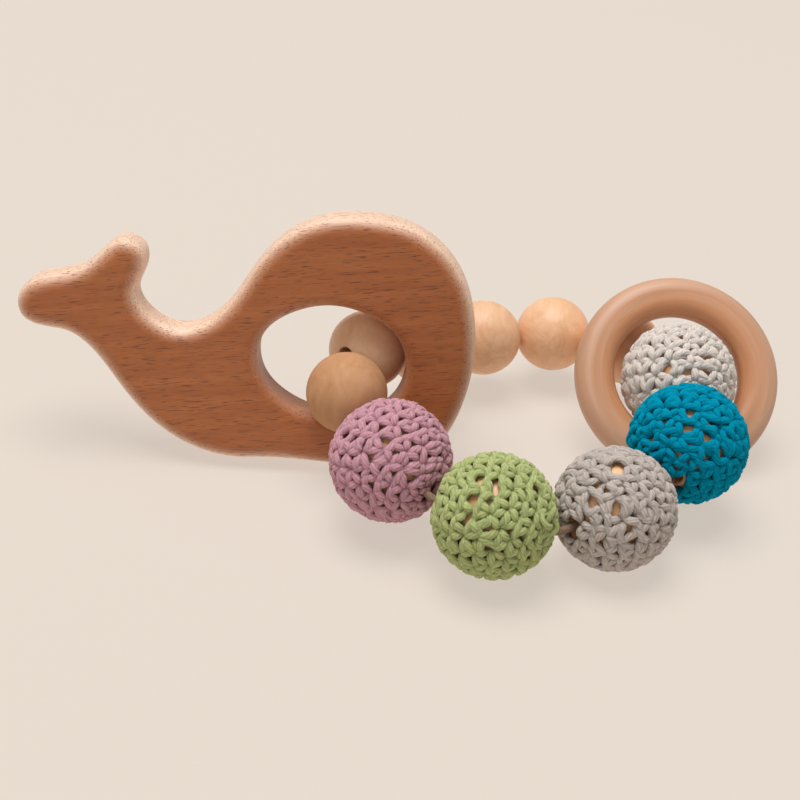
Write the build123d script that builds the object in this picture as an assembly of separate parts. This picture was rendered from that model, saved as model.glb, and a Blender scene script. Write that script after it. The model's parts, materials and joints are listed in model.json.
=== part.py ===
from build123d import *
import math
import os

# Teething ring: a wooden whale and a wooden ring on a closed string of beads.
# Lengths in millimetres, angles in degrees.
# Frame: +Z up, X along the object from the tail to the ring, front is -Y.

# ---- driving dimensions -------------------------------------------------------------
plain_d = 16.0
plain_bore_d = 3.4
core_d = 20.0
core_bore_d = 4.0
cover_d = 23.4
cover_inner_d = 20.2
cover_mouth_d = 5.0
bead_gap = 0.3
cord_d = 1.5
cord_bend_r = 5.0
settling_passes = 6

whale_thick = 11.0
whale_edge_r = 3.3
hole_edge_r = 2.2
whale_lean = 15.0

ring_outer_r = 21.1
ring_bar_wide = 8.1
ring_bar_thick = 7.2
ring_edge_r = 3.2
ring_lean = 45.4
ring_turn = 5.0

# ---- where things lie ---------------------------------------------------------------
# First bead of the loop in plan, the whale's foot line, and the ring's centre.
loop_start = (-11.0, -4.0)
whale_foot = (-11.0, -0.05)
ring_centre = (56.0, 15.6)

# The loop is walked bead by bead: name, sort, height of the centre, and the compass
# heading from this centre to the next one (0 along +X, turning left).
loop = [
    ("plain_bead_front", "plain", 19.0, 78),
    ("plain_bead_rear", "plain", 20.0, 44),
    ("plain_bead_hidden", "plain", 15.5, 37),
    ("plain_bead_back_left", "plain", 13.0, 20),
    ("plain_bead_back_right", "plain", 12.0, -26),
    ("plain_bead_by_ring", "plain", 14.0, -60),
    ("cream", "crochet", 16.5, -91),
    ("blue", "crochet", 16.0, -130),
    ("grey", "crochet", 11.8, -164),
    ("green", "crochet", 13.0, 146),
    ("mauve", "crochet", 15.0, None),
]

# Whale outline, seen from the front, from the belly round the tail, back and head.
# First number runs along the whale, second up from its foot.
whale_outline = [
    (-19.0, 0.25),
    (-28.5, 1.2),
    (-37.2, 5.5),
    (-45.0, 13.2),
    (-51.0, 20.6),
    (-56.2, 24.1),
    (-61.8, 24.95),
    (-65.2, 26.8),
    (-66.0, 30.0),
    (-64.4, 33.2),
    (-59.0, 35.6),
    (-53.0, 37.6),
    (-49.0, 41.3),
    (-45.6, 43.5),
    (-41.8, 42.0),
    (-41.2, 37.6),
    (-42.6, 33.2),
    (-39.6, 28.4),
    (-33.0, 26.3),
    (-26.2, 29.8),
    (-18.4, 41.2),
    (-8.6, 49.1),
    (2.4, 50.8),
    (12.4, 48.6),
    (20.4, 41.6),
    (24.5, 29.0),
    (23.0, 14.0),
    (16.5, 3.2),
    (6.0, 0.25),
]

# Leaf-shaped hole through the whale, in the same directions.
hole_outline = [
    (-18.2, 22.5),
    (-16.4, 27.4),
    (-11.0, 31.2),
    (-4.0, 32.8),
    (4.0, 31.0),
    (9.4, 26.9),
    (11.2, 20.5),
    (7.9, 12.6),
    (-1.0, 9.6),
    (-10.7, 11.8),
    (-16.3, 16.2),
]


def bead_radius(sort):
    return plain_d / 2 if sort == "plain" else cover_d / 2


def loop_centres():
    """Bead centres round the loop, each just clear of the one before."""
    x, y = loop_start
    centres = [Vector(x, y, loop[0][2])]
    for here, after in zip(loop, loop[1:]):
        reach = bead_radius(here[1]) + bead_radius(after[1]) + bead_gap
        rise = after[2] - here[2]
        run = math.sqrt(reach**2 - rise**2)
        x += run * math.cos(math.radians(here[3]))
        y += run * math.sin(math.radians(here[3]))
        centres.append(Vector(x, y, after[2]))
    return centres


def cord_corners(centres):
    """Where the string bends: between the mouths of two neighbouring beads.

    Each pass draws the runs of the taut string nearer the middles of their beads.
    """
    count = len(centres)
    corners = []
    for i in range(count):
        before = i - 1
        after = (i + 1) % count
        along_before = (centres[i] - centres[i - 2]).normalized()
        along_here = (centres[after] - centres[before]).normalized()
        way_out = centres[before] + along_before * bead_radius(loop[before][1])
        way_in = centres[i] - along_here * bead_radius(loop[i][1])
        corners.append((way_out + way_in) * 0.5)
    for settling in range(settling_passes):
        misses = []
        for i in range(count):
            along = (corners[(i + 1) % count] - corners[i]).normalized()
            to_centre = centres[i] - corners[i]
            misses.append(to_centre - along * to_centre.dot(along))
        corners = [corners[i] + (misses[i - 1] + misses[i]) * 0.5 for i in range(count)]
    return corners


def bore_directions(corners):
    """Each bore lies along its own straight run of the string."""
    count = len(corners)
    return [(corners[(i + 1) % count] - corners[i]).normalized() for i in range(count)]


def plain_bead():
    """Turned round bead, bored through along Z, with the bore's mouths eased."""
    bead = Sphere(plain_d / 2) - Cylinder(plain_bore_d / 2, plain_d)
    return fillet(bead.edges().filter_by(GeomType.CIRCLE), 0.4)


def crochet_core():
    """Wooden bead inside a crochet cover."""
    core = Sphere(core_d / 2) - Cylinder(core_bore_d / 2, core_d)
    return fillet(core.edges().filter_by(GeomType.CIRCLE), 0.4)


def crochet_cover():
    """Yarn cover, open at both ends of the bore."""
    shell = Sphere(cover_d / 2) - Sphere(cover_inner_d / 2)
    return shell - Cylinder(cover_mouth_d / 2, cover_d + 2)


def on_bore(solid, centre, direction):
    """Set a bead with its bore along the string."""
    return Plane(origin=centre, z_dir=direction).location * solid


def cord_paths(corners):
    """Closed string in runs, from the middle of one bead to the middle of the next.

    Each run is straight through both bores, with one arc between the two beads.
    """
    count = len(corners)
    middles = [(corners[i] + corners[(i + 1) % count]) * 0.5 for i in range(count)]
    paths = []
    for i in range(count):
        after = (i + 1) % count
        points = (middles[i], corners[after], middles[after])
        paths.append(FilletPolyline(*points, radius=cord_bend_r))
    return paths


def cord(paths):
    """Round string swept along every run, joined to one endless piece."""
    runs = []
    for path in paths:
        section = Plane(origin=path @ 0, z_dir=path % 0) * Circle(cord_d / 2)
        runs.append(sweep(section, path=path))
    return runs[0].fuse(*runs[1:])


def wooden_ring():
    """Ring turned from a plate, its four edges rounded over, leaning on the cream bead."""
    bar = RectangleRounded(ring_bar_wide, ring_bar_thick, ring_edge_r)
    middle_r = ring_outer_r - ring_bar_wide / 2
    solid = revolve(Plane.XZ * (Pos(middle_r, 0) * bar), Axis.Z)
    lean = math.radians(ring_lean)
    reach = ring_outer_r - ring_edge_r
    half_flat = ring_bar_thick / 2 - ring_edge_r
    height = reach * math.cos(lean) + half_flat * math.sin(lean) + ring_edge_r
    x, y = ring_centre
    place = Pos(x, y, height) * Rot(0, 0, ring_turn) * Rot(90 - ring_lean, 0, 0)
    return place * solid


def whale_body():
    """Flat whale standing on its belly, every edge rounded, leaning back."""
    outline = Wire(Spline(*whale_outline, periodic=True))
    hole = Wire(Spline(*hole_outline, periodic=True))
    blank = extrude(make_face(outline), whale_thick)
    blank = fillet(blank.edges(), whale_edge_r)
    cutter = extrude(make_face(hole), whale_thick)
    plate = blank - cutter
    rims = plate.edges().filter_by(
        lambda edge: edge.bounding_box().size.X < 40
        and abs(edge.bounding_box().size.Z) < 0.01
    )
    plate = fillet(rims, hole_edge_r)
    x, y = whale_foot
    sink = whale_edge_r + (whale_thick / 2 - whale_edge_r) * math.sin(
        math.radians(whale_lean)
    )
    foot = sink - whale_edge_r * math.cos(math.radians(whale_lean))
    place = Pos(x, y, foot) * Rot(90 - whale_lean, 0, 0) * Pos(0, 0, -whale_thick / 2)
    return place * plate


def save(name, solid):
    if isinstance(solid, (list, ShapeList)):
        solid = solid[0]
    solids = solid.solids()
    print(name, len(solids), "solid", round(solid.volume, 1), "mm3", solid.is_valid)
    export_step(solids[0], f"parts/{name}.step")


os.makedirs("parts", exist_ok=True)
centres = loop_centres()
corners = cord_corners(centres)
ways = bore_directions(corners)
closing = (centres[-1] - centres[0]).length - bead_radius("plain") - bead_radius("crochet")
print("gap left between the last bead and the first", round(closing, 3))
paths = cord_paths(corners)
cord_length = sum(path.length for path in paths)
cord_volume = cord_length * math.pi * (cord_d / 2) ** 2
print("cord", round(cord_length, 1), "mm long, every bend of radius", cord_bend_r)
print("cord section times length", round(cord_volume, 1), "mm3")

save("whale_body", whale_body())
save("wooden_ring", wooden_ring())
save("cord", cord(paths))
for (bead_name, sort, height, heading), centre, way in zip(loop, centres, ways):
    if sort == "plain":
        save(bead_name, on_bore(plain_bead(), centre, way))
    else:
        save(bead_name + "_core", on_bore(crochet_core(), centre, way))
        save(bead_name + "_cover", on_bore(crochet_cover(), centre, way))
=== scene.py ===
import json
import math
import random

import bpy
import numpy as np
from mathutils import Matrix, Vector


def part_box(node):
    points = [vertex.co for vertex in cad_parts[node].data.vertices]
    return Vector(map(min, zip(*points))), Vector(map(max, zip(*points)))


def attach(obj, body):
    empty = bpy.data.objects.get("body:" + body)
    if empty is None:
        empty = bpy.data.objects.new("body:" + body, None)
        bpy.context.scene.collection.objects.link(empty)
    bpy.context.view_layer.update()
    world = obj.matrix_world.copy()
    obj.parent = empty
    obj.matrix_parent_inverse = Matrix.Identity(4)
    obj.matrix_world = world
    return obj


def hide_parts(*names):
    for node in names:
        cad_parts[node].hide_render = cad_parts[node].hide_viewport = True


# Teething ring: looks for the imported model. Lengths are in millimetres unless a name says
# otherwise, and MM turns them into Blender's metres.
MM = 0.001

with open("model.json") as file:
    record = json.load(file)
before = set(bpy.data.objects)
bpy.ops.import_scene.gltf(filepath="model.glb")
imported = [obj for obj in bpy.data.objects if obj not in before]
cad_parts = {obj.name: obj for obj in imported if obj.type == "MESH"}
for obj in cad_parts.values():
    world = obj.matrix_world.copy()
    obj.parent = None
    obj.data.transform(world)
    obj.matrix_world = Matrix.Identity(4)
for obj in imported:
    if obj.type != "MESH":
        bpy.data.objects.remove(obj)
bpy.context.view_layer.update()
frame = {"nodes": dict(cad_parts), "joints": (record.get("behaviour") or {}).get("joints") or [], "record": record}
nodes = frame["nodes"]
joints = {joint["name"]: joint for joint in frame["joints"]}
mounts = {mount["name"]: mount for mount in frame["record"]["mounts"]}
whale_face = mounts["whale_front_face"]["axis"]
ring_strap = mounts["ring_strap"]
hole_middle = joints["whale_swing"]["pos_m"]

# ---- crochet: driving dimensions ------------------------------------------------------
# A cover starts and ends near the mouths of the bore, in degrees from the bore's axis.
STITCH_WIDE = 3.8
ROW_HIGH = 2.65
COVER_START = 6.5
COVER_END = 173.5
FEWEST_IN_ROUND = 6.0

# Yarn's section, the share of it that is left where the yarn is squeezed, and how far its
# middle lies from the bead's middle, at its deepest and at its outermost.
YARN_WIDE = 1.6
YARN_THICK = 1.3
YARN_NECK = 0.58
YARN_INNER_R = 10.25
YARN_OUTER_R = 11.2

# Yarn's mesh: plies, length of one turn of them, reach of the points round each ply,
# distance between the tube's rings, and steps of the line between two points of a stitch.
PLIES = 6
PLY_TWIST = 9.0
PLY_SECTION = (0.86, 1.0, 1.0)
PLY_CREST = 0.9
RING_SPACING = 0.47
LINE_STEPS = 8

# How unevenly it is worked. Along and wide are in stitches, up, high and sway in rows, and
# out is in the yarn's lift, which stays in its range.
WIDTH_SPREAD = (0.92, 1.08)
HEIGHT_SPREAD = (0.94, 1.06)
JITTER_ALONG = 0.035
JITTER_UP = 0.045
JITTER_OUT = 0.09
OUT_RANGE = (-0.05, 1.15)
SLOW_SWAY = 0.10
QUICK_SWAY = 0.06
LOOSE_SHARE = 0.13
LOOSE_WIDE = 1.42
LOOSE_HIGH = 1.3

# Gaps take these shares of their bead's own size in turn, and push the yarn aside as far
# as the fade. Scattered ones stay within a share of the bead's radius along its bore.
GAP_SIZES = (0.85, 1.0, 0.92)
GAP_FADE = 6.0
GAP_REACH = 0.85
GAP_SEED = 100

# Knotted end of the green yarn: its size, its distance and direction from the bead's
# middle, the thickness of its yarn as a share of the cover's, and its crease.
KNOT_R = 2.4
KNOT_PLACE_R = 11.9
KNOT_WAY = (0.81, -0.50, 0.31)
KNOT_YARN = 0.85
KNOT_CREASE = 0.8

# The floor is lit from below as well, so that shadows on it are faint.
FLOOR_COLOUR = (0.20, 0.177, 0.153)
FLOOR_GLOW = (0.563, 0.500, 0.444)

# Woods and string: a pale and a deep tone each. Flecks rise along the whale, in degrees.
WHALE_FACE_TONES = ((0.485, 0.150, 0.038), (0.39, 0.110, 0.026))
# The rim tones are partly sanded end grain and partly a painted highlight where the rims catch the light.
WHALE_RIM_TONES = ((1.0, 0.700, 0.520), (0.90, 0.600, 0.420))
FLECK_TONE = (0.16, 0.045, 0.014, 1)
FLECK_RISE = 8.0
RING_TONES = ((0.64, 0.370, 0.235), (0.54, 0.290, 0.170))
BEAD_TONES = ((0.93, 0.58, 0.35), (0.82, 0.47, 0.26))
# Front bead: a darker copy of the bead tones, painted shade from the whale above it. Rear bead: a paler copy,
# painted light where it sits in the whale's shade behind the hole.
SHADED_FRONT_BEAD_TONES = ((0.60, 0.32, 0.165), (0.50, 0.25, 0.115))
LIT_REAR_BEAD_TONES = ((1.0, 0.68, 0.42), (0.94, 0.58, 0.33))
CORE_TONES = ((1.0, 0.58, 0.30), (0.86, 0.44, 0.19))
# The string's tan is darkened as painted shade, for where it lies between the beads.
STRING_TONES = ((0.34, 0.22, 0.15), (0.16, 0.09, 0.06))
WHITE = (1.0,) * 3
BLACK = (0.0,) * 3

# Ring: a more orange tint on the inside, painted bounce light where its wood faces itself,
# radius of its turning marks, and how much they follow the way through the ring.
INSIDE_BOUNCE_TINT = (1.0, 0.80, 0.62)
MARKS_R = 16.0
MARKS_THROUGH = 0.7

# Scale, in 1/m, that makes the whale's hole a zone of radius about 0.5. Within it the rims
# keep the face's deeper tone, without their paler sanded and painted highlight tone.
HOLE_ZONE = (29.0, 0.0, 36.0)

# Yarn through one single-crochet stitch: place along the row in stitches, place up the
# row in rows, and how far out it lies, from 0 against the bead to 1 outermost. It dives
# between its two legs, the loop along the top and the strand to the next stitch.
STITCH = (
    (0.50, -0.06, 0.00),
    (0.38, 0.30, 0.95),
    (0.20, 0.66, 0.90),
    (0.08, 0.92, 0.05),
    (0.36, 1.12, 0.95),
    (0.74, 1.06, 0.95),
    (1.02, 0.90, 0.05),
    (0.86, 0.56, 0.95),
    (0.68, 0.22, 0.85),
    (0.54, -0.10, 0.00),
    (0.78, 0.06, 0.80),
    (1.12, 0.02, 0.85),
    (1.36, -0.06, 0.10),
)

# Gaps between the stitches where the wooden core shows: directions from the bead's
# middle. Others are scattered by the seed.
GAPS = {
    "mauve": (
        (-0.12, -0.62, 0.78),
        (0.37, -0.89, 0.27),
    ),
    "green": (
        (-0.32, -0.26, 0.91),
        (-0.05, -0.52, 0.85),
        (-0.43, -0.56, 0.71),
        (-0.45, -0.75, 0.48),
        (-0.18, -0.91, 0.37),
        (-0.12, -0.99, 0.05),
    ),
    "grey": (
        (-0.35, -0.49, 0.8),
        (-0.5, -0.69, 0.53),
        (-0.09, -0.8, 0.59),
        (0.13, -0.97, 0.19),
        (-0.1, -0.3, 0.95),
    ),
    "blue": (
        (0.15, -0.49, 0.86),
        (-0.14, -0.68, 0.72),
        (0.17, -0.78, 0.59),
        (0.42, -0.84, 0.33),
    ),
    "cream": (
        (-0.01, -0.8, 0.6),
        (-0.31, -0.7, 0.64),
        (0.34, -0.7, 0.63),
    ),
}

# Crochet beads: name, seed, how far the yarn is parted at a gap in millimetres, how many
# more gaps are scattered, yarn colour, and a darker colour painted as shade in the creases.
CROCHET = (
    ("mauve", 11, 1.15, 3, (0.66, 0.34, 0.40), (0.30, 0.10, 0.13)),
    ("green", 12, 1.4, 4, (0.48, 0.54, 0.22), (0.17, 0.20, 0.04)),
    ("grey", 13, 1.6, 4, (0.59, 0.51, 0.46), (0.26, 0.21, 0.17)),
    ("blue", 14, 1.35, 3, (0.0, 0.29, 0.45), (0.0, 0.08, 0.14)),
    ("cream", 15, 1.15, 3, (1.0, 0.88, 0.79), (1.0, 0.78, 0.66)),
)


# ---- small helpers --------------------------------------------------------------------
def box_middle(node):
    low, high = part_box(node)
    return (low + high) / 2


def catmull_rom(points, steps):
    """Smooth line through all the points, as many steps between each two."""
    p = np.vstack([2 * points[0] - points[1], points, 2 * points[-1] - points[-2]])
    a, b, c, d = p[:-3], p[1:-2], p[2:-1], p[3:]
    t = (np.arange(steps) / steps)[None, :, None]
    a, b, c, d = (q[:, None, :] for q in (a, b, c, d))
    line = 0.5 * (
        2 * b + (c - a) * t + (2 * a - 5 * b + 4 * c - d) * t**2 + (3 * b - a - 3 * c + d) * t**3
    )
    return np.vstack([line.reshape(-1, points.shape[1]), points[-1:]])


def even_spacing(line, spacing):
    """The same line with its points evenly spaced, and how far along each one is."""
    along = np.concatenate([[0], np.cumsum(np.linalg.norm(np.diff(line[:, :3], axis=0), axis=1))])
    count = max(4, round(along[-1] / spacing))
    places = np.linspace(0, along[-1], count)
    return np.stack([np.interp(places, along, line[:, k]) for k in range(line.shape[1])], 1), places


def unit(vectors):
    return vectors / np.linalg.norm(vectors, axis=-1, keepdims=True)


# ---- yarn ------------------------------------------------------------------------------
def yarn_mesh(name, line, outward, crease, along, scale=1.0):
    """Tube of twisted plies along a line, flattened towards the bead.

    outward is the direction away from the bead at each point of the line. crease is 0
    for yarn deep in the fabric, where it is squeezed, and 1 for yarn at its surface. Three
    attributes serve the material: fibre is a place on the yarn, crest marks the middle of
    each ply, for painted shade between the plies, and lift runs from 0 in the creases to 1
    on top, for painted shade in the creases and a painted highlight on top.
    """
    ways = unit(np.gradient(line, axis=0))
    side = unit(np.cross(ways, outward))
    out = np.cross(side, ways)
    sides = PLIES * len(PLY_SECTION)
    around = 2 * math.pi * np.arange(sides) / sides
    reach = np.tile(PLY_SECTION, PLIES)
    turn = 2 * math.pi * along / PLY_TWIST
    angle = around[None, :] + turn[:, None]
    plump = (YARN_NECK + (1 - YARN_NECK) * crease)[:, None] * scale
    across = np.cos(angle) * reach * YARN_WIDE / 2 * plump
    up = np.sin(angle) * reach * YARN_THICK / 2 * plump
    sideways = across[..., None] * side[:, None, :]
    upwards = up[..., None] * out[:, None, :]
    points = line[:, None, :] + sideways + upwards
    count = len(line)
    faces = []
    for ring in range(count - 1):
        first, second = ring * sides, (ring + 1) * sides
        for k in range(sides):
            after = (k + 1) % sides
            faces.append((first + k, first + after, second + after, second + k))
    faces.append(tuple(reversed(range(sides))))
    faces.append(tuple((count - 1) * sides + k for k in range(sides)))
    mesh = bpy.data.meshes.new(name)
    mesh.from_pydata((points.reshape(-1, 3) * MM).tolist(), [], faces)
    mesh.polygons.foreach_set("use_smooth", np.ones(len(mesh.polygons), bool))
    fibre = np.zeros((count, sides, 3), np.float32)
    fibre[..., 0] = np.cos(around)
    fibre[..., 1] = np.sin(around)
    fibre[..., 2] = along[:, None]
    mesh.attributes.new("fibre", "FLOAT_VECTOR", "POINT").data.foreach_set("vector", fibre.ravel())
    crest = np.broadcast_to(reach > PLY_CREST, (count, sides)).astype(np.float32)
    mesh.attributes.new("crest", "FLOAT", "POINT").data.foreach_set("value", crest.ravel())
    # Lift masks painted shade in the creases and under the yarn, and a painted highlight on its top.
    lift = (crease[:, None] * (0.45 + 0.55 * np.sin(angle)) + 0.12).clip(0, 1).astype(np.float32)
    mesh.attributes.new("lift", "FLOAT", "POINT").data.foreach_set("value", lift.ravel())
    mesh.update()
    return mesh


def cover_line(seed):
    """Yarn of a whole cover about +Z: a spiral of stitches from one mouth to the other.

    Gives the points, and how far out each one lies, from 0 to 1.
    """
    draw = random.Random(seed)
    middle_r = (YARN_INNER_R + YARN_OUTER_R) / 2
    row = math.degrees(ROW_HIGH / middle_r)
    polar = COVER_START
    compass = draw.uniform(0, 360)
    # Only two of these are used. The third keeps the draws after it in their order.
    sway = [draw.uniform(0, 2 * math.pi) for k in range(3)]
    points = []
    while polar + row < COVER_END:
        girth = 2 * math.pi * middle_r * math.sin(math.radians(polar + row / 2))
        in_round = max(FEWEST_IN_ROUND, girth / STITCH_WIDE)
        step = 360 / in_round
        width = draw.uniform(*WIDTH_SPREAD)
        height = draw.uniform(*HEIGHT_SPREAD)
        if draw.random() < LOOSE_SHARE:
            width, height = LOOSE_WIDE, LOOSE_HIGH
        for along, up, out in STITCH:
            s = 0.5 + (along - 0.5) * width + draw.gauss(0, JITTER_ALONG)
            h = up * height + draw.gauss(0, JITTER_UP)
            d = min(OUT_RANGE[1], max(OUT_RANGE[0], out + draw.gauss(0, JITTER_OUT)))
            a = math.radians(compass + s * step)
            lean = SLOW_SWAY * math.sin(3 * a + sway[0]) + QUICK_SWAY * math.sin(5 * a + sway[1])
            b = math.radians(polar + (s / in_round + h + lean) * row)
            r = YARN_INNER_R + d * (YARN_OUTER_R - YARN_INNER_R)
            flat = r * math.sin(b)
            points.append((flat * math.cos(a), flat * math.sin(a), r * math.cos(b), d))
        compass += step
        polar += row / in_round
    return np.array(points)


def scattered(seed, count):
    """Directions spread at random, away from both ends of the bore."""
    draw = random.Random(seed + GAP_SEED)
    ways = []
    for k in range(count):
        polar = math.acos(draw.uniform(-GAP_REACH, GAP_REACH))
        compass = draw.uniform(0, 2 * math.pi)
        flat = math.sin(polar)
        ways.append((flat * math.cos(compass), flat * math.sin(compass), math.cos(polar)))
    return ways


def open_gaps(line, ways, size):
    """Part the yarn in each of the directions, so that the core shows there."""
    for number, way in enumerate(ways):
        reach = np.linalg.norm(line[:, :3], axis=1, keepdims=True)
        off = line[:, :3] / reach - unit(np.array(way))
        gap = GAP_SIZES[number % len(GAP_SIZES)] * size / YARN_OUTER_R
        far = np.linalg.norm(off, axis=1, keepdims=True)
        fade = np.clip(1 - far * YARN_OUTER_R / GAP_FADE, 0, 1)
        pushed = (np.sqrt(far**2 + gap**2) - far) * fade / np.maximum(far, 1e-6)
        line[:, :3] = unit(line[:, :3] / reach + off * pushed) * reach
    return line


def crochet_cover(name, seed, gap_size, more_gaps, material):
    """Cover worked in one length of yarn round the bead, about its bore."""
    bore = Vector(joints[name + "_spin"]["axis"]).to_track_quat("Z", "Y").to_matrix()
    ways = [bore.transposed() @ Vector(way) for way in GAPS[name]] + scattered(seed, more_gaps)
    line = open_gaps(catmull_rom(cover_line(seed), LINE_STEPS), ways, gap_size)
    line, along = even_spacing(line, RING_SPACING)
    centre_line = line[:, :3]
    crease = line[:, 3].clip(0, 1)
    mesh = yarn_mesh(name + "_crochet", centre_line, unit(centre_line), crease, along)
    cover = bpy.data.objects.new(name + "_crochet", mesh)
    bpy.context.scene.collection.objects.link(cover)
    mesh.transform(bore.to_4x4())
    mesh.transform(Matrix.Translation(box_middle(name + "_cover")))
    mesh.materials.append(material)
    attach(cover, name + "_bead")
    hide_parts(name + "_cover")


def yarn_end(name, material, direction):
    """Knotted end of the yarn, drawn flat on a cover on the side of a direction."""
    around = np.linspace(0, 2 * math.pi, 90, endpoint=False)
    knot = np.stack([
        (np.sin(around) + 2 * np.sin(2 * around)) * KNOT_R / 3,
        (np.cos(around) - 2 * np.cos(2 * around)) * KNOT_R / 3,
        -np.sin(3 * around) * KNOT_R / 4,
    ], 1)
    out = Vector(direction).normalized()
    turn = np.array(out.to_track_quat("Z", "Y").to_matrix())
    line, along = even_spacing(knot @ turn.T + np.array(out) * KNOT_PLACE_R, RING_SPACING)
    outward = np.broadcast_to(np.array(out), line.shape)
    crease = np.full(len(line), KNOT_CREASE)
    mesh = yarn_mesh(name + "_yarn_end", line, outward, crease, along, KNOT_YARN)
    mesh.transform(Matrix.Translation(box_middle(name + "_cover")))
    mesh.materials.append(material)
    knot_piece = bpy.data.objects.new(name + "_yarn_end", mesh)
    bpy.context.scene.collection.objects.link(knot_piece)
    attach(knot_piece, name + "_bead")


# ---- materials ---------------------------------------------------------------------------
def new_material(name):
    material = bpy.data.materials.new(name)
    material.use_nodes = True
    return material, material.node_tree, material.node_tree.nodes["Principled BSDF"]


def add(tree, kind, settings=None, **inputs):
    """A new node, with its settings and its inputs: a value, or another node's output.

    Inputs go by name, or as i0, i1 and so on where several have one name.
    """
    node = tree.nodes.new("ShaderNode" + kind)
    for key, value in (settings or {}).items():
        setattr(node, key, value)
    for key, value in inputs.items():
        socket = node.inputs[int(key[1:]) if key[1:].isdigit() else key.replace("_", " ")]
        if isinstance(value, bpy.types.NodeSocket):
            tree.links.new(value, socket)
        else:
            socket.default_value = value
    return node


def ramp(tree, value, stops):
    """Colour ramp over a value, from (place, colour) stops."""
    node = add(tree, "ValToRGB", i0=value)
    elements = node.color_ramp.elements
    while len(elements) < len(stops):
        elements.new(0.5)
    for element, (place, colour) in zip(elements, stops):
        element.position = place
        element.color = (*colour, 1) if len(colour) == 3 else colour
    return node.outputs["Color"]


def stretched(tree, place, scale, turn=(0, 0, 0)):
    """Coordinates scaled, in 1/mm, and turned, for a pattern that runs one way."""
    size = tuple(s / MM for s in scale)
    angles = tuple(math.radians(t) for t in turn)
    turned = add(tree, "Mapping", {"vector_type": "POINT"}, Vector=place, Rotation=angles)
    return add(tree, "Mapping", Vector=turned.outputs[0], Scale=size).outputs[0]


def noise(tree, place, detail=3.0, rough=0.5, distort=0.0):
    """Noise from 0 to 1 over coordinates that are scaled already."""
    inputs = {"Scale": 1.0, "Detail": detail, "Roughness": rough, "Distortion": distort}
    return add(tree, "TexNoise", Vector=place, **inputs).outputs["Fac"]


def mix(tree, factor, first, second, blend="MIX"):
    """Two colours mixed by a factor."""
    settings = {"data_type": "RGBA", "blend_type": blend}
    return add(tree, "Mix", settings, i0=factor, i6=first, i7=second).outputs[2]


def shade(tree, share, colour, value, low, high):
    """A colour darkened by a share where a value is low: low is (place, brightness)."""
    darker = ramp(tree, value, ((low[0], (low[1],) * 3), (high, WHITE)))
    return mix(tree, share, colour, darker, "MULTIPLY")


def vector(tree, operation, first, second=None):
    """Vector arithmetic: a vector, or a number for a dot product or a length."""
    inputs = {"i0": first} if second is None else {"i0": first, "i1": second}
    node = add(tree, "VectorMath", {"operation": operation}, **inputs)
    return node.outputs["Value" if operation in ("DOT_PRODUCT", "LENGTH") else "Vector"]


def give_bump(tree, shader, height, strength, depth):
    """Bump on a shader from a height, with its depth in millimetres."""
    bump = add(tree, "Bump", Strength=strength, Distance=depth * MM, Height=height)
    tree.links.new(bump.outputs[0], shader.inputs["Normal"])


def yarn_material(name, colour, crease):
    """Matt cotton: fine fibres along the plies, painted shade in the creases and between the plies, a painted
    highlight on top, soft sheen.
    """
    material, tree, shader = new_material(name)
    lift = add(tree, "Attribute", {"attribute_name": "lift"}).outputs["Fac"]
    crest = add(tree, "Attribute", {"attribute_name": "crest"}).outputs["Fac"]
    fibre = add(tree, "Attribute", {"attribute_name": "fibre"}).outputs["Vector"]
    along_fibres = add(tree, "Mapping", Vector=fibre, Scale=(9.0, 9.0, 1.6)).outputs[0]
    strands = noise(tree, along_fibres, 4.0, 0.75)
    along_yarn = add(tree, "Mapping", Vector=fibre, Scale=(0.4, 0.4, 0.2)).outputs[0]
    patches = noise(tree, along_yarn, 2.0)
    # The crease colour is painted shade deep in the fabric, and the paler tone at the top of the lift is a painted
    # highlight.
    highlight_gain = min(1.24, 1 / max(colour))
    light = tuple(c * highlight_gain for c in colour)
    base = ramp(tree, lift, ((0.05, crease), (0.42, colour), (1.0, light)))
    # Painted shade in the valleys between the plies.
    ply_shaded = shade(tree, 1.0, base, crest, (0.0, 0.76), 0.8)
    streaked = shade(tree, 0.6, ply_shaded, strands, (0.38, 0.60), 0.60)
    dyed = shade(tree, 0.5, streaked, patches, (0.35, 0.84), 0.65)
    tree.links.new(dyed, shader.inputs["Base Color"])
    give_bump(tree, shader, strands, 0.9, 0.2)
    shader.inputs["Roughness"].default_value = 0.95
    shader.inputs["Specular IOR Level"].default_value = 0.05
    shader.inputs["Subsurface Weight"].default_value = 0.25
    shader.inputs["Subsurface Radius"].default_value = (1.0, 0.8, 0.7)
    shader.inputs["Subsurface Scale"].default_value = 0.8 * MM
    shader.inputs["Sheen Weight"].default_value = 0.2
    shader.inputs["Sheen Roughness"].default_value = 0.4
    shader.inputs["Sheen Tint"].default_value = (*(c**0.5 for c in colour), 1)
    return material


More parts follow.
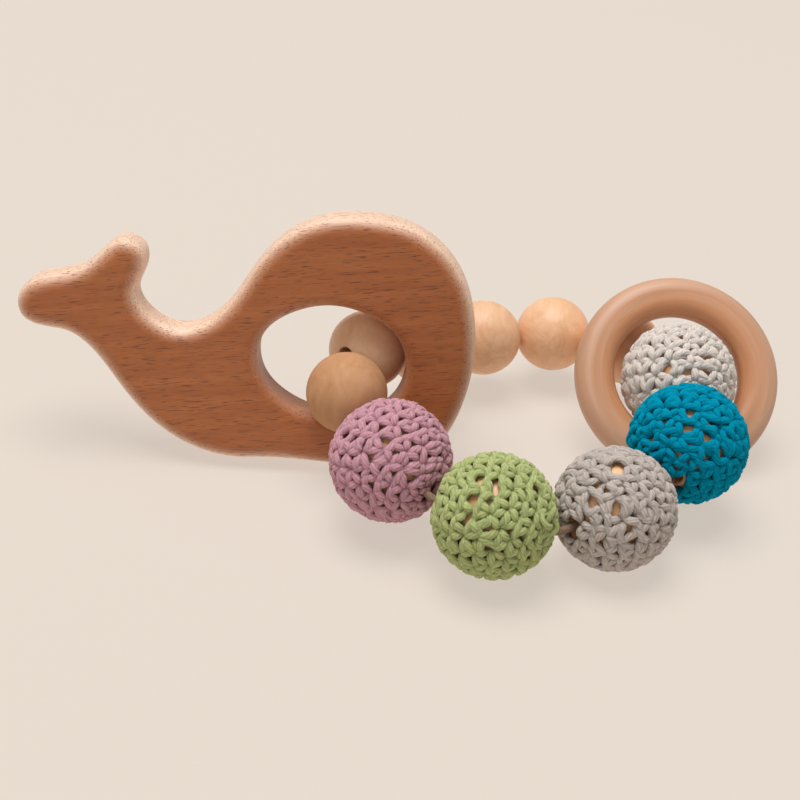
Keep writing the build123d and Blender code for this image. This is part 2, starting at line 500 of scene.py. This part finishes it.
def whale_wood():
    """Beech plate: fine grain along the whale with thin dark flecks, rims paler as sanded end grain and painted
    highlight.
    """
    material, tree, shader = new_material("whale_beech")
    coordinates = add(tree, "TexCoord").outputs
    place = coordinates["Object"]
    turn = (0, FLECK_RISE, 0)
    streaks = noise(tree, stretched(tree, place, (0.035, 0.5, 0.5), turn), 4.0, 0.6, 0.3)
    fine = noise(tree, stretched(tree, place, (0.13, 4.2, 4.2), turn), 4.0, 0.65)
    flecks = noise(tree, stretched(tree, place, (0.24, 5.6, 5.6), turn), 1.0, 0.5, 0.05)
    base = ramp(tree, streaks, ((0.30, WHALE_FACE_TONES[1]), (0.70, WHALE_FACE_TONES[0])))
    rim = ramp(tree, streaks, ((0.30, WHALE_RIM_TONES[1]), (0.70, WHALE_RIM_TONES[0])))
    facing = vector(tree, "DOT_PRODUCT", coordinates["Normal"], whale_face)
    flat = add(tree, "Math", {"operation": "ABSOLUTE"}, i0=facing).outputs[0]
    from_hole = vector(tree, "SUBTRACT", place, hole_middle)
    across = add(tree, "Mapping", Vector=from_hole, Scale=HOLE_ZONE).outputs[0]
    away = vector(tree, "LENGTH", across)
    # Rims take the paler tone: partly sanded end grain, partly a painted highlight where they catch the light.
    # Round the whale's hole they keep the face's deeper tone.
    rounded = ramp(tree, flat, ((0.50, WHITE), (0.985, BLACK)))
    pale = shade(tree, 1.0, rounded, away, (0.55, 0.25), 0.68)
    sanded_and_highlit = mix(tree, pale, base, rim)
    grained = shade(tree, 0.5, sanded_and_highlit, fine, (0.3, 0.70), 0.68)
    spots = ramp(tree, flecks, ((0.62, BLACK), (0.665, (0.9,) * 3)))
    marked = mix(tree, spots, grained, FLECK_TONE)
    tree.links.new(marked, shader.inputs["Base Color"])
    height = add(tree, "Math", {"operation": "SUBTRACT"}, i0=fine, i1=spots).outputs[0]
    give_bump(tree, shader, height, 0.3, 0.06)
    shader.inputs["Roughness"].default_value = 0.46
    shader.inputs["Specular IOR Level"].default_value = 0.6
    return material


def turned_wood(
    name, tones, place_of=None, grain=(0.9, 0.12, 0.9), rough=0.42, gloss=0.45, middle=None
):
    """Turned and sanded light wood with faint growth rings and fine grain.

    place_of makes the coordinates of its pattern, where they aren't the object's own.
    With a middle, the wood is more orange where it faces that point, as painted bounce light.
    """
    material, tree, shader = new_material(name)
    coordinates = add(tree, "TexCoord").outputs
    place = place_of(tree) if place_of else coordinates["Object"]
    bands = noise(tree, stretched(tree, place, tuple(g * 0.35 for g in grain)), 2.0, 0.5, 1.2)
    fine = noise(tree, stretched(tree, place, tuple(g * 2.6 for g in grain)), 4.0, 0.65, 0.4)
    base = ramp(tree, bands, ((0.30, tones[1]), (0.65, tones[0])))
    grained = shade(tree, 0.4, base, fine, (0.35, 0.82), 0.65)
    if middle is not None:
        # Painted bounce light: more orange where the wood faces the middle.
        way = vector(tree, "NORMALIZE", vector(tree, "SUBTRACT", coordinates["Object"], middle))
        facing = vector(tree, "DOT_PRODUCT", coordinates["Normal"], way)
        painted_bounce = ramp(tree, facing, ((0.0, INSIDE_BOUNCE_TINT), (0.45, WHITE)))
        grained = mix(tree, 1.0, grained, painted_bounce, "MULTIPLY")
    tree.links.new(grained, shader.inputs["Base Color"])
    give_bump(tree, shader, fine, 0.12, 0.04)
    shader.inputs["Roughness"].default_value = rough
    shader.inputs["Specular IOR Level"].default_value = gloss
    return material


def along_the_ring(tree):
    """Coordinates for turning marks: round the ring, across its bar and through it."""
    place = add(tree, "TexCoord").outputs["Object"]
    middle = box_middle("wooden_ring")
    flat = Vector(ring_strap["axis"]).normalized()
    spoke = (Vector(ring_strap["pos_m"]) - middle).normalized()
    from_middle = vector(tree, "SUBTRACT", place, middle)
    own_ways = (flat, spoke, flat.cross(spoke))
    x, y, z = (vector(tree, "DOT_PRODUCT", from_middle, way) for way in own_ways)
    spread = add(tree, "CombineXYZ", X=x, Y=y).outputs[0]
    radius = vector(tree, "LENGTH", spread)
    way = vector(tree, "NORMALIZE", spread)
    reach = MARKS_R * MM
    round_it = add(tree, "VectorMath", {"operation": "SCALE"}, i0=way, Scale=reach).outputs[0]
    sum_of = {"operation": "MULTIPLY_ADD"}
    depth = add(tree, "Math", sum_of, i0=z, i1=MARKS_THROUGH, i2=radius).outputs[0]
    through = add(tree, "CombineXYZ", Z=depth).outputs[0]
    return vector(tree, "ADD", round_it, through)


def string_material():
    """Tan cotton string, finely mottled, its tan darkened as painted shade."""
    material, tree, shader = new_material("string_cotton")
    place = add(tree, "TexCoord").outputs["Object"]
    mottle = noise(tree, stretched(tree, place, (2.5, 2.5, 2.5)), 3.0, 0.6)
    base = ramp(tree, mottle, ((0.3, STRING_TONES[1]), (0.7, STRING_TONES[0])))
    tree.links.new(base, shader.inputs["Base Color"])
    give_bump(tree, shader, mottle, 0.5, 0.1)
    shader.inputs["Roughness"].default_value = 0.9
    return material


def dress(node, material):
    """Give a CAD node its finished material."""
    mesh = nodes[node].data
    mesh.materials.clear()
    mesh.materials.append(material)


# ---- stage -----------------------------------------------------------------------------
def floor():
    mesh = bpy.data.meshes.new("floor")
    side = 3.0
    corners = [(-side, -side, 0), (side, -side, 0), (side, side, 0), (-side, side, 0)]
    mesh.from_pydata(corners, [], [(0, 1, 2, 3)])
    plane = bpy.data.objects.new("floor", mesh)
    bpy.context.scene.collection.objects.link(plane)
    material, tree, shader = new_material("floor_paper")
    shader.inputs["Base Color"].default_value = (*FLOOR_COLOUR, 1)
    shader.inputs["Emission Color"].default_value = (*FLOOR_GLOW, 1)
    shader.inputs["Emission Strength"].default_value = 1.0
    shader.inputs["Roughness"].default_value = 0.95
    shader.inputs["Specular IOR Level"].default_value = 0.1
    mesh.materials.append(material)


def lamp(name, place, target, size, power, colour=(1, 1, 1)):
    """Soft square lamp facing a target. Places in metres."""
    data = bpy.data.lights.new(name, "AREA")
    data.shape = "SQUARE"
    data.size = size
    data.energy = power
    data.color = colour
    light = bpy.data.objects.new(name, data)
    light.location = place
    way = Vector(target) - Vector(place)
    light.rotation_euler = way.to_track_quat("-Z", "Y").to_euler()
    bpy.context.scene.collection.objects.link(light)


def lights():
    world = bpy.data.worlds.new("studio")
    world.use_nodes = True
    world.node_tree.nodes["Background"].inputs["Color"].default_value = (1, 0.97, 0.94, 1)
    world.node_tree.nodes["Background"].inputs["Strength"].default_value = 0.30
    bpy.context.scene.world = world
    lamp("top_lamp", (-0.15, 0.1, 1.5), (0, 0, 0.02), 1.0, 23.0)
    lamp("front_lamp", (-0.5, -1.0, 0.7), (0, 0, 0.02), 0.8, 1.6)


def camera():
    """Camera above and in front of the object, looking down, a little rolled."""
    place = (-0.0005, -0.3059, 0.2013)
    look_down = 31.25
    roll = 3.677
    data = bpy.data.cameras.new("camera")
    data.sensor_width = 36
    data.lens = 80.9
    data.clip_start = 0.01
    eye = bpy.data.objects.new("camera", data)
    tilt = Matrix.Rotation(math.radians(90 - look_down), 4, "X")
    turn = Matrix.Rotation(math.radians(roll), 4, "Z")
    eye.matrix_world = Matrix.Translation(place) @ tilt @ turn
    bpy.context.scene.collection.objects.link(eye)
    bpy.context.scene.camera = eye


# ---- build -----------------------------------------------------------------------------
bpy.context.scene.view_settings.view_transform = "Standard"
camera()
lights()
floor()

dress("whale_body", whale_wood())
ring_wood = turned_wood(
    "ring_beech", RING_TONES, along_the_ring, (0.05, 0.05, 1.1), middle=box_middle("wooden_ring")
)
dress("wooden_ring", ring_wood)
bead_wood = turned_wood("bead_maple", BEAD_TONES)
# Front bead: a darker copy of the bead wood, as painted shade. Rear bead: a paler copy, as painted light.
front_wood = turned_wood(
    "bead_maple_painted_shade", SHADED_FRONT_BEAD_TONES, grain=(0.5, 0.5, 0.15), rough=0.75, gloss=0.2
)
rear_wood = turned_wood("bead_maple_painted_light", LIT_REAR_BEAD_TONES)
lit_and_shaded_wood = {"plain_bead_front": front_wood, "plain_bead_rear": rear_wood}
core_wood = turned_wood("core_maple", CORE_TONES)
for node in nodes:
    if node.startswith("plain_bead"):
        dress(node, lit_and_shaded_wood.get(node, bead_wood))
    if node.endswith("_core"):
        dress(node, core_wood)
dress("cord", string_material())
for name, seed, gap_size, more_gaps, colour, crease in CROCHET:
    yarn = yarn_material(name + "_cotton", colour, crease)
    crochet_cover(name, seed, gap_size, more_gaps, yarn)
    if name == "green":
        yarn_end(name, yarn, KNOT_WAY)
